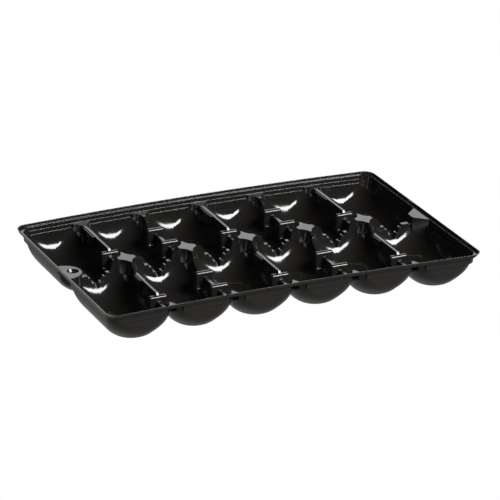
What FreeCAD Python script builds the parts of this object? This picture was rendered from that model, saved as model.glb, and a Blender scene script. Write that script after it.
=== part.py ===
"""Thermoformed plastic tray for twelve long fruits: one sheet, drawn into two rows of six bowls.

The sheet is the gap between two skins. form(0) is everything under the upper skin, form(sheet) is
everything under the lower skin, and each feature is written once, with the skin's offset as its argument.
Levels are heights above the top of the lip. The finished tray is lifted so that its feet stand on z = 0.
X runs along the tray, Y across it, and the origin is the middle of the footprint.
"""
import FreeCAD, Part
import os
from math import cos, radians, sin, sqrt, tan

V = FreeCAD.Vector

# Overall sizes, in millimetres.
tray_length = 400.0
tray_width = 259.0
sheet = 0.6                # thickness of the plastic
crown_rise = 3.5           # the middle of the length stands this much above the two short ends
rim_corner = 11.0          # outer corner of the lip, in plan

# Rim section, from the edge inwards: flared lip, flat flange, stacking step, ledge round the bowls.
lip_flare = 1.6            # how far the lip leans out
flange_level = -2.6
flange_width = 2.0
step_level = -6.4
step_width = 0.6
ledge_level = -10.5
ledge_width = 0.9
wall_draft = 3.0           # degrees, on the walls of the rim

# Bowls: six along the length, two across.
bowls_long = 6
bowl_pitch = 64.9          # along X
row_pitch = 126.0          # along Y
ridge_thickness = 3.0      # between two neighbours of a row, at the level of the ledge
bowl_length = 121.4        # along Y, at the level of the ledge
mouth_corner = 14.0        # plan corner of a bowl at its mouth
floor_level = -37.3
belly_radius = 24.0        # the wall rolls into the floor with this radius
bowl_draft = 3.0           # degrees, above the roll

# Ridges between the bowls of a row, by distance from the back end of the bowl.
ridge_half_width = 9.0
ridge_level = -7.0         # high ridges, and both kinds where they leave the back wall
saddle_level = -15.0       # the dip in front of a high ridge, and most of a low ridge
low_ridge_drop = (15.0, 27.0)
high_ridge_drop = (79.0, 84.0)
saddle_rise = (98.0, 112.0)
front_tab_level = -4.6     # where a ridge meets the front wall
rib_half_width = 2.8       # stiffening rib on the back of a high ridge
rib_end = 43.0

# Posts across the ridges, each in three tiers that step out towards the floor.
post_places = {"high": (80.0,), "low": (43.0, 80.0)}
post_tiers = ((-9.5, 10.0, 3.0), (-24.5, 10.5, 5.0), (-34.0, 11.0, 7.0))   # level, half width, half length
post_round = 2.4

# Bosses where four bowls meet, and the stepped notches between them.
boss_level = 0.8
boss_half_width = 9.0
boss_half_length = 13.0
shoulder_half_width = 16.0
shoulder_level = -2.8
notch_level = -24.5
notch_treads = 4
notch_half_length = 24.0

# Half bosses in the middle of the short ends.
round_boss_radius = 17.5
dimple_radius = 6.0
dimple_depth = 3.0
dimple_inset = 9.0         # centre of the dimple from the straight side of its boss
square_boss_base = 35.0
square_boss_tip = 11.0
square_boss_depth = 12.6

deep = -60.0               # below every skin
high = 8.0                 # above every skin

bowl_half_width = (bowl_pitch - ridge_thickness) / 2
bowl_half_length = bowl_length / 2
flange_inset = sheet * 1.2 + lip_flare
step_inset = flange_inset + flange_width
ledge_inset = step_inset + step_width
ridge_places = [bowl_pitch * (n + 1 - bowls_long / 2) for n in range(bowls_long - 1)]
column_places = [bowl_pitch * (n + 0.5 - bowls_long / 2) for n in range(bowls_long)]
row_places = [row_pitch / 2, -row_pitch / 2]


def crown_at(x):
    """Height that the crown adds at one place along the tray."""
    return crown_rise * (1 - (2 * x / tray_length) ** 2)


def polygon_prism(points, direction):
    """Solid from a closed list of points, drawn along a direction."""
    return Part.Face(Part.makePolygon(points + [points[0]])).extrude(direction)


def rounded_outline(half_x, half_y, corner, z, bow=0.0):
    """Closed rectangle with arcs at its corners, at one height. The sides along X may be bowed inwards."""
    wire = []
    inner_x, inner_y = half_x - corner, half_y - corner
    slant = corner / sqrt(2)
    corners = [(1, 1), (-1, 1), (-1, -1), (1, -1)]
    for n, (sx, sy) in enumerate(corners):
        centre = V(sx * inner_x, sy * inner_y, z)
        along_x = centre + V(sx * corner, 0, 0)
        along_y = centre + V(0, sy * corner, 0)
        first, last = (along_x, along_y) if sx * sy > 0 else (along_y, along_x)
        middle = centre + V(sx * slant, sy * slant, 0)
        wire.append(Part.Arc(first, middle, last).toShape())
        next_x, next_y = corners[(n + 1) % 4]
        start = V(next_x * inner_x, next_y * inner_y, z)
        start += V(next_x * corner, 0, 0) if next_x * next_y > 0 else V(0, next_y * corner, 0)
        if bow and next_y == sy:
            wire.append(Part.Arc(last, V(0, sy * (half_y - bow), z), start).toShape())
        else:
            wire.append(Part.makeLine(last, start))
    return Part.Wire(wire)


def rim_outline(inset, z, bow=0.0):
    corner = rim_corner + 0.6 * inset
    return rounded_outline(tray_length / 2 - inset, tray_width / 2 - inset, corner, z, bow)


def crowned(level, below=False):
    """Everything above (or below) a level that follows the crown."""
    reach = tray_length / 2 + 30
    end = V(reach, 0, level + crown_at(reach))
    start = V(-reach, 0, level + crown_at(reach))
    far = deep if below else high + crown_rise + 10
    arc = Part.Arc(start, V(0, 0, level + crown_rise), end).toShape()
    sides = Part.makePolygon([end, V(reach, 0, far), V(-reach, 0, far), start])
    face = Part.Face(Part.Wire([arc] + sides.Edges))
    face.translate(V(0, -tray_width, 0))
    return face.extrude(V(0, 2 * tray_width, 0))


def rim_cavity(inset, level, slope):
    """Air inside one step of the rim: its walls lean out by slope millimetres a millimetre of height.
    The bow takes back what the lean would add where the crown lifts the level."""
    low, tall = level - 2, level + 20
    sides = [rim_outline(inset - (z - level) * slope, z, slope * crown_rise) for z in (low, tall)]
    return Part.makeLoft(sides, True, True).common(crowned(level))


def rim_air(skin):
    lean = tan(radians(wall_draft))
    flare = lip_flare / -flange_level
    # The skin is moved square to the leaning lip and straight down from the flat flange.
    lip_shift = skin * sqrt(1 + flare ** 2)
    air = rim_cavity(flange_inset - lip_shift + skin * flare, flange_level - skin, flare)
    for inset, level in ((step_inset, step_level), (ledge_inset, ledge_level)):
        air = air.fuse(rim_cavity(inset - skin, level - skin, lean))
    return air


def bowl_air(skin):
    """Air inside one bowl, centred on the origin: a drafted wall that rolls into a flat floor."""
    radius = belly_radius + skin
    roll_level = floor_level + belly_radius
    lean = tan(radians(bowl_draft))
    foot = -(roll_level - ledge_level) * lean
    sections = [(-(z - ledge_level) * lean, 0.0, z) for z in (high + 4.0, ledge_level)]
    for turn in range(0, 91, 15):
        inset = foot + radius * (1 - cos(radians(turn)))
        sections.append((inset, min(1.0, turn / 45), roll_level - radius * sin(radians(turn))))
    wires = []
    for inset, rounding, z in sections:
        half_x = bowl_half_width + skin - inset
        half_y = bowl_half_length + skin - inset
        # The corners open out until each end of the bowl is a half circle.
        corner = (mouth_corner + skin) * (1 - rounding) + (half_x - 0.4) * rounding
        wires.append(rounded_outline(half_x, half_y, corner, z))
    wall = Part.makeLoft(wires[:3], True, True)
    belly = Part.makeLoft(wires[2:], True, False)
    return wall.fuse(belly)


def ridge_body(kind, row, skin):
    """Solid under one ridge, across X = 0: a long block with the profile of its crest."""
    back = row + row_pitch / 2
    front_level = boss_level if row > 0 else front_tab_level
    drop = low_ridge_drop if kind == "low" else high_ridge_drop
    if row > 0:
        crest = [(-4, ridge_level), (drop[0], ridge_level)]
    else:
        crest = [(-1, boss_level), (boss_half_length, boss_level)]
        if kind == "high":
            crest += [(boss_half_length + 11, ridge_level), (drop[0], ridge_level)]
        else:
            drop = (boss_half_length, boss_half_length + 18)
    crest += [(drop[1], saddle_level), (saddle_rise[0], saddle_level), (saddle_rise[1], front_level)]
    crest += [(row_pitch + (1 if row > 0 else 4), front_level)]
    half = ridge_half_width - skin
    points = [V(-half, back - along, level - skin) for along, level in crest]
    points += [V(-half, points[-1].y, saddle_level - 8), V(-half, points[0].y, saddle_level - 8)]
    return polygon_prism(points, V(2 * half, 0, 0))


def saddle_air(kind, row, skin):
    """Air over the dip of one ridge, which lies lower than the ledge round the bowls."""
    back = row + row_pitch / 2
    rise, fall = saddle_rise[1] - saddle_rise[0], high_ridge_drop[1] - high_ridge_drop[0]
    start = high_ridge_drop[1]
    if kind == "low":
        start, fall = low_ridge_drop[1], low_ridge_drop[1] - low_ridge_drop[0]
        if row < 0:
            start, fall = boss_half_length + 18, 18.0
    crest = [(start - fall - skin, ledge_level + 6), (start - skin * 0.5, saddle_level - skin)]
    crest += [(saddle_rise[0] + skin * 0.5, saddle_level - skin), (saddle_rise[1] + skin, ledge_level + 6)]
    points = [V(-ridge_half_width, back - along, level) for along, level in crest]
    return polygon_prism(points, V(2 * ridge_half_width, 0, 0))


def boss_body(skin):
    """Solid under one boss, across the centre line, with a shoulder on each side."""
    top, side = boss_half_width - skin, shoulder_half_width - skin
    points = [V(-top, 0, boss_level - skin), V(top, 0, boss_level - skin), V(side, 0, shoulder_level - skin)]
    points += [V(side + 4, 0, saddle_level), V(-side - 4, 0, saddle_level), V(-side, 0, shoulder_level - skin)]
    body = polygon_prism(points, V(0, 2 * boss_half_length, 0))
    body.translate(V(0, -boss_half_length, 0))
    return body


def notch_air(skin):
    """Stepped notch between the two bowls of a column, open along Y."""
    reach = bowl_pitch / 2 - shoulder_half_width
    tread = (reach - 1.5) / notch_treads
    riser = (shoulder_level - notch_level) / notch_treads
    right = [(1.5 + skin, notch_level - skin)]
    for n in range(notch_treads):
        out, level = 1.5 + n * tread, notch_level + (n + 1) * riser
        right += [(out + tread * 0.45 + skin, level - skin), (out + tread + skin, level - skin)]
    right += [(reach + 2.5 + skin, high)]
    points = [V(x, -notch_half_length, z) for x, z in right]
    points += [V(-x, -notch_half_length, z) for x, z in reversed(right)]
    return polygon_prism(points, V(0, 2 * notch_half_length, 0))


def post_body(skin):
    """One stepped post across a ridge, with rounded tiers."""
    body = None
    for level, half_x, half_y in post_tiers:
        half_x, half_y = half_x - skin, half_y - skin
        tier = Part.makeBox(2 * half_x, 2 * half_y, level - skin - deep, V(-half_x, -half_y, deep))
        top = [edge for edge in tier.Edges if edge.CenterOfMass.z > level - skin - 0.01]
        upright = [edge for edge in tier.Edges if abs(edge.tangentAt(edge.FirstParameter).z) > 0.9]
        tier = tier.makeFillet(post_round - skin / 2, top + upright)
        body = tier if body is None else body.fuse(tier)
    return body


def rib_body(row, skin):
    """Wider back half of a high ridge."""
    back = row + row_pitch / 2
    start = -2.0 if row > 0 else boss_half_length + 8
    length = rib_end - start - skin
    half = rib_half_width - skin
    corner = V(-half, back - rib_end + skin, deep)
    return Part.makeBox(2 * half, length, ridge_level - 0.8 - skin - deep, corner)


def round_boss_body(skin):
    """Half-round boss of the left end, with a dimple in its top, against the plane X = 0."""
    top = flange_level - skin
    lean = tan(radians(bowl_draft))
    radius = round_boss_radius - skin
    cone = Part.makeCone(radius + (top - deep) * lean, radius, top - deep, V(0, 0, deep))
    dimple = Part.makeCone(dimple_radius * 0.7 + skin, dimple_radius + skin, dimple_depth,
                           V(dimple_inset, 0, top - dimple_depth))
    return cone.cut(dimple)


def square_boss_body(skin):
    """Half boss of the right end: a trapezium that points into the tray, against the plane X = 0."""
    top = flange_level - skin
    lean = tan(radians(bowl_draft))
    wires = []
    for z in (deep, top):
        grow = (top - z) * lean - skin
        base, tip, depth = square_boss_base / 2 + grow, square_boss_tip / 2 + grow, square_boss_depth + grow
        corners = [V(3, -base - 3, z), V(-depth, -tip, z), V(-depth, tip, z), V(3, base + 3, z)]
        wires.append(Part.makePolygon(corners + [corners[0]]))
    return Part.makeLoft(wires, True, True)


def moved(shape, x, y, z):
    copy = shape.copy()
    copy.translate(V(x, y, z))
    return copy


def ridge_kinds():
    """Kinds of the ridges from left to right: high and low by turns."""
    return [(x, "low" if n % 2 else "high") for n, x in enumerate(ridge_places)]


def form(skin):
    """Everything under one skin of the sheet."""
    body = Part.makeBox(tray_length + 12, tray_width + 12, high - deep, V(-tray_length / 2 - 6, -tray_width / 2 - 6, deep))
    body = body.cut(rim_air(skin))
    raised = [moved(ridge_body(kind, row, skin), x, 0, crown_at(x)) for x, kind in ridge_kinds() for row in row_places]
    boss = boss_body(skin)
    raised += [moved(boss, x, 0, crown_at(x)) for x in ridge_places]
    body = body.fuse(raised)

    bowl, notch = bowl_air(skin), notch_air(skin)
    sunk = [moved(bowl, x, y, crown_at(x)) for x in column_places for y in row_places]
    sunk += [moved(notch, x, 0, crown_at(x)) for x in column_places]
    sunk += [moved(saddle_air(kind, row, skin), x, 0, crown_at(x)) for x, kind in ridge_kinds() for row in row_places]
    body = body.cut(sunk)

    post = post_body(skin)
    end_wall = tray_length / 2 - step_inset
    standing = [moved(round_boss_body(skin), -end_wall, 0, 0), moved(square_boss_body(skin), end_wall, 0, 0)]
    for x, kind in ridge_kinds():
        for row in row_places:
            back = row + row_pitch / 2
            standing += [moved(post, x, back - along, crown_at(x)) for along in post_places[kind]]
            if kind == "high":
                standing.append(moved(rib_body(row, skin), x, 0, crown_at(x)))
    return body.fuse(standing)


def tray():
    """The sheet between its two skins, cut off level at the top of the lip."""
    reach = Part.makeLoft([rim_outline(-1, z) for z in (deep + 5, high - 1)], True, True)
    inside = Part.makeLoft([rim_outline(step_inset, z) for z in (deep, high + 10)], True, True)
    solid = form(0.0).common(reach).cut(form(sheet)).cut(crowned(0.0).cut(inside))
    foot = floor_level - sheet + crown_at(column_places[0])
    solid.translate(V(0, 0, -foot))
    return solid


os.makedirs("parts", exist_ok=True)
shape = tray()
largest = max(shape.Solids, key=lambda solid: solid.Volume)
shape.exportStep("parts/tray.step")
print("solids", len(shape.Solids), "valid", shape.isValid(), "volume", round(shape.Volume), shape.BoundBox)
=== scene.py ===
"""Glossy black fruit tray before plain white, lit by a large softbox at the front right and two weaker ones."""
import bpy
from math import cos, radians, sin
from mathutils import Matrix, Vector
import numpy as np


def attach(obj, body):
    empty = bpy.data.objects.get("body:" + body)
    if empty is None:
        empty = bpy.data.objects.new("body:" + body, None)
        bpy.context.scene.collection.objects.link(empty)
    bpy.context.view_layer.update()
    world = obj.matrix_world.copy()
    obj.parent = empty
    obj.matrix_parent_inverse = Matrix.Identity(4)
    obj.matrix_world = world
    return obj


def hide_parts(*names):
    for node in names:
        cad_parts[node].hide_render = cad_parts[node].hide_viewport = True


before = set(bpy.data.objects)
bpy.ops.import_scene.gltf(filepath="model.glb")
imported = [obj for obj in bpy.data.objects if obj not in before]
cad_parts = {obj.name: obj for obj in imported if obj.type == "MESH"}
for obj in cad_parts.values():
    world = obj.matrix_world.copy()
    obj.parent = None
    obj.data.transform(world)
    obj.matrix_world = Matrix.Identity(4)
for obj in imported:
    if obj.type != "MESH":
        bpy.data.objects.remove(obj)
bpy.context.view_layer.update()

# Camera: a long lens, from the front left and a little above.
azimuth = radians(-23.92)
elevation = radians(21.87)
camera_distance = 3.368
camera_reach = 20.0
lens_mm, sensor_mm = 242.0, 36.0
lip_height = 0.0368                # the lip at the short ends, above the resting plane
aim_right, aim_down = 0.00336, 0.01005

# Lamps: name, direction from the tray, distance, width and height in metres, and power in watts.
softboxes = [
    ("key", (0.377, -0.665, 0.645), 2.0, 1.3, 0.7, 70.0),
    ("back", (0.377, 0.847, 0.375), 2.5, 1.6, 0.7, 6.0),
    ("side", (-0.90, -0.15, 0.25), 2.0, 0.8, 0.8, 2.0),
]

# Surface of the sheet.
sheet_colour = (0.012, 0.011, 0.010, 1.0)
plastic_ior = 1.5
edge_radius, edge_samples = 0.0005, 6
wave_scale, wave_depth = 45.0, 0.00006
grain_scale, grain_depth = 900.0, 0.000004
noise_span = (0.3, 0.7)            # the part of the wave noise that the roughness follows
roughness_range = (0.09, 0.2)

# What the sheet mirrors: near darkness above, and a light ground that grows brighter below the horizon.
seen_white = (1.0, 1.0, 1.0, 1.0)
mirrored_tint = (1.0, 0.98, 0.95, 1.0)
sky_glow, ground_glow = 0.012, 0.30
glow_starts, glow_full = 0.02, -0.25    # upward part of the mirrored direction

# Lip of the sheet, in metres: its foot is moved out so that the lip stands steeper.
half_length, half_width, lip_corner = 0.2, 0.1295, 0.011
crown_rise = 0.0035
lip_depth, lip_reach = 0.0026, 0.0027
lip_shift = 0.0010
level_slack = 0.0009
tiny = 1e-9                        # keeps a division away from zero


def own_copy(source, name):
    """A free copy of a CAD object, with a mesh of its own."""
    made = source.copy()
    made.data = source.data.copy()
    made.name = made.data.name = name
    made.parent = None
    for key in list(made.keys()):
        del made[key]
    bpy.context.scene.collection.objects.link(made)
    return made


def inset_and_way(points):
    """How far in from the lip's rounded rectangle each point lies, and the level way out to it."""
    quadrant = np.sign(points[:, :2])
    core = np.array([half_length - lip_corner, half_width - lip_corner])
    out = np.abs(points[:, :2]) - core
    in_corner = (out > 0).all(axis=1)
    farthest = out.max(axis=1)
    length = np.where(in_corner, np.hypot(out[:, 0], out[:, 1]), farthest)
    round_way = out / np.maximum(length, tiny)[:, None]
    straight_way = out == farthest[:, None]
    way = np.where(in_corner[:, None], round_way, straight_way)
    return lip_corner - length, way * quadrant


def steeper_lip(source):
    """A copy of the tray whose lip leans out less: the foot of the lip moves outwards."""
    made = own_copy(source, "tray_sheet")
    mesh = made.data
    points = np.empty(len(mesh.vertices) * 3)
    mesh.vertices.foreach_get("co", points)
    points = points.reshape(-1, 3)
    crown = crown_rise * (1 - (points[:, 0] / half_length) ** 2)
    level = points[:, 2] - crown - lip_height
    inset, way = inset_and_way(points)
    foot = (np.abs(level + lip_depth) < level_slack) & (inset < lip_reach)
    top = level > -level_slack
    points[foot, :2] += way[foot] * lip_shift
    normals = np.empty(len(mesh.loops) * 3)
    mesh.corner_normals.foreach_get("vector", normals)
    normals = normals.reshape(-1, 3)
    mesh.vertices.foreach_set("co", points.ravel())
    mesh.update()
    # The faces of the lip's wall take the direction that they now have.
    for face in mesh.polygons:
        corners = list(face.vertices)
        if foot[corners].any() and top[corners].any():
            normals[list(face.loop_indices)] = face.normal
    mesh.normals_split_custom_set(normals.tolist())
    return made


def sheet_material():
    """Black plastic: shallow forming waves, fine grain, uneven gloss, and edges rounded by the forming."""
    made = bpy.data.materials.new("black_sheet")
    made.use_nodes = True
    nodes, links = made.node_tree.nodes, made.node_tree.links
    shader = nodes["Principled BSDF"]
    shader.inputs["Base Color"].default_value = sheet_colour
    shader.inputs["IOR"].default_value = plastic_ior
    place = nodes.new("ShaderNodeTexCoord")
    waves = nodes.new("ShaderNodeTexNoise")
    waves.inputs["Scale"].default_value = wave_scale
    grain = nodes.new("ShaderNodeTexNoise")
    grain.inputs["Scale"].default_value = grain_scale
    gloss = nodes.new("ShaderNodeMapRange")
    gloss.inputs["From Min"].default_value = noise_span[0]
    gloss.inputs["From Max"].default_value = noise_span[1]
    gloss.inputs["To Min"].default_value = roughness_range[0]
    gloss.inputs["To Max"].default_value = roughness_range[1]
    edge = nodes.new("ShaderNodeBevel")
    edge.samples = edge_samples
    edge.inputs["Radius"].default_value = edge_radius
    wave_bump = nodes.new("ShaderNodeBump")
    wave_bump.inputs["Distance"].default_value = wave_depth
    grain_bump = nodes.new("ShaderNodeBump")
    grain_bump.inputs["Distance"].default_value = grain_depth
    for texture in (waves, grain):
        links.new(place.outputs["Object"], texture.inputs["Vector"])
    links.new(waves.outputs["Fac"], wave_bump.inputs["Height"])
    links.new(edge.outputs["Normal"], wave_bump.inputs["Normal"])
    links.new(grain.outputs["Fac"], grain_bump.inputs["Height"])
    links.new(wave_bump.outputs["Normal"], grain_bump.inputs["Normal"])
    links.new(grain_bump.outputs["Normal"], shader.inputs["Normal"])
    links.new(waves.outputs["Fac"], gloss.inputs["Value"])
    links.new(gloss.outputs["Result"], shader.inputs["Roughness"])
    return made


def surroundings():
    """White where the camera sees past the tray; a light ground and a dark sky for what the sheet mirrors."""
    world = bpy.data.worlds.new("surroundings")
    world.use_nodes = True
    nodes, links = world.node_tree.nodes, world.node_tree.links
    mirrored = nodes["Background"]
    mirrored.inputs["Color"].default_value = mirrored_tint
    place = nodes.new("ShaderNodeTexCoord")
    split = nodes.new("ShaderNodeSeparateXYZ")
    ramp = nodes.new("ShaderNodeMapRange")
    ramp.inputs["From Min"].default_value = glow_starts
    ramp.inputs["From Max"].default_value = glow_full
    ramp.inputs["To Min"].default_value = sky_glow
    ramp.inputs["To Max"].default_value = ground_glow
    seen = nodes.new("ShaderNodeBackground")
    seen.inputs["Color"].default_value = seen_white
    path = nodes.new("ShaderNodeLightPath")
    choice = nodes.new("ShaderNodeMixShader")
    links.new(place.outputs["Generated"], split.inputs["Vector"])
    links.new(split.outputs["Z"], ramp.inputs["Value"])
    links.new(ramp.outputs["Result"], mirrored.inputs["Strength"])
    links.new(path.outputs["Is Camera Ray"], choice.inputs["Fac"])
    links.new(mirrored.outputs["Background"], choice.inputs[1])
    links.new(seen.outputs["Background"], choice.inputs[2])
    links.new(choice.outputs["Shader"], nodes["World Output"].inputs["Surface"])
    bpy.context.scene.world = world


def softbox(name, direction, distance, width, height, watts):
    """A rectangular area lamp that faces the tray."""
    lamp = bpy.data.lights.new(name, "AREA")
    lamp.shape = "RECTANGLE"
    lamp.size, lamp.size_y = width, height
    lamp.energy = watts
    made = bpy.data.objects.new(name, lamp)
    towards = Vector(direction).normalized()
    made.location = towards * distance
    made.rotation_euler = towards.to_track_quat("Z", "Y").to_euler()
    bpy.context.scene.collection.objects.link(made)


def camera():
    """The scene's camera, aimed a little right of and below the middle of the lip."""
    towards = Vector((sin(azimuth) * cos(elevation), -cos(azimuth) * cos(elevation), sin(elevation)))
    right = Vector((cos(azimuth), sin(azimuth), 0.0))
    up = towards.cross(right)
    aim = Vector((0.0, 0.0, lip_height)) + right * aim_right - up * aim_down
    data = bpy.data.cameras.new("camera")
    data.lens, data.sensor_width = lens_mm, sensor_mm
    data.clip_end = camera_reach
    made = bpy.data.objects.new("camera", data)
    made.location = aim + towards * camera_distance
    made.rotation_euler = towards.to_track_quat("Z", "Y").to_euler()
    bpy.context.scene.collection.objects.link(made)
    bpy.context.scene.camera = made


sheet = steeper_lip(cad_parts["tray"])
sheet.data.materials.clear()
sheet.data.materials.append(sheet_material())
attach(sheet, "root")
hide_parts("tray")

surroundings()
for box in softboxes:
    softbox(*box)
camera()

bpy.context.scene.view_settings.view_transform = "Standard"
